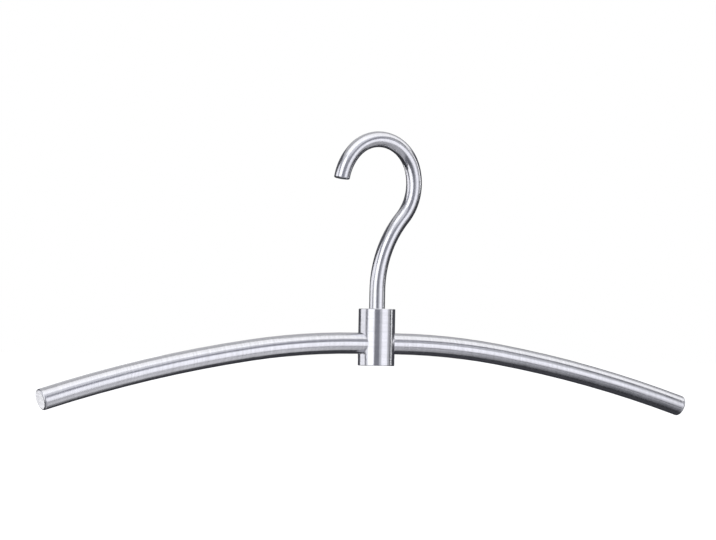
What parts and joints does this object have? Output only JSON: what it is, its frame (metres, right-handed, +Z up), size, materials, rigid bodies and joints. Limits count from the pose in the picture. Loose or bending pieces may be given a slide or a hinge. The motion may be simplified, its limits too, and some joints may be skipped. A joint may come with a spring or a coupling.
{
  "type": "coat hanger",
  "caption": "Bent tubular coat hanger with a turned cylindrical hub and a round-rod swivel hook, in satin stainless steel.",
  "frame": {"origin": "the hook's seat: the lowest line of the crown's underside, straight above the hub's axis", "axes": "+Z up along the hub's axis, +X along the shoulder bar to the side away from the hook's mouth, +Y away from the picture's viewer"},
  "size_m": [0.4392, 0.022, 0.169],
  "materials": {
    "satin_steel": "satin",
    "inner_steel": "machined",
    "acetal": "matte",
    "brass": "machined"
  },
  "bodies": {
    "hook_assembly": {"hook": "satin_steel", "retaining_washer": "inner_steel", "retaining_screw": "inner_steel"},
    "hanger": {"hub": "satin_steel", "swivel_bush": "acetal", "shoulder_bar": "satin_steel", "left_end_plug": "satin_steel", "right_end_plug": "satin_steel", "clamp_pad": "brass", "clamp_screw": "inner_steel"}
  },
  "joints": [
    {"name": "hook_swivel", "type": "hinge", "parent": "hook_assembly", "child": "hanger", "pos_m": [0, 0, -0.0971], "axis": [0, 0, 1], "continuous": true}
  ]
}
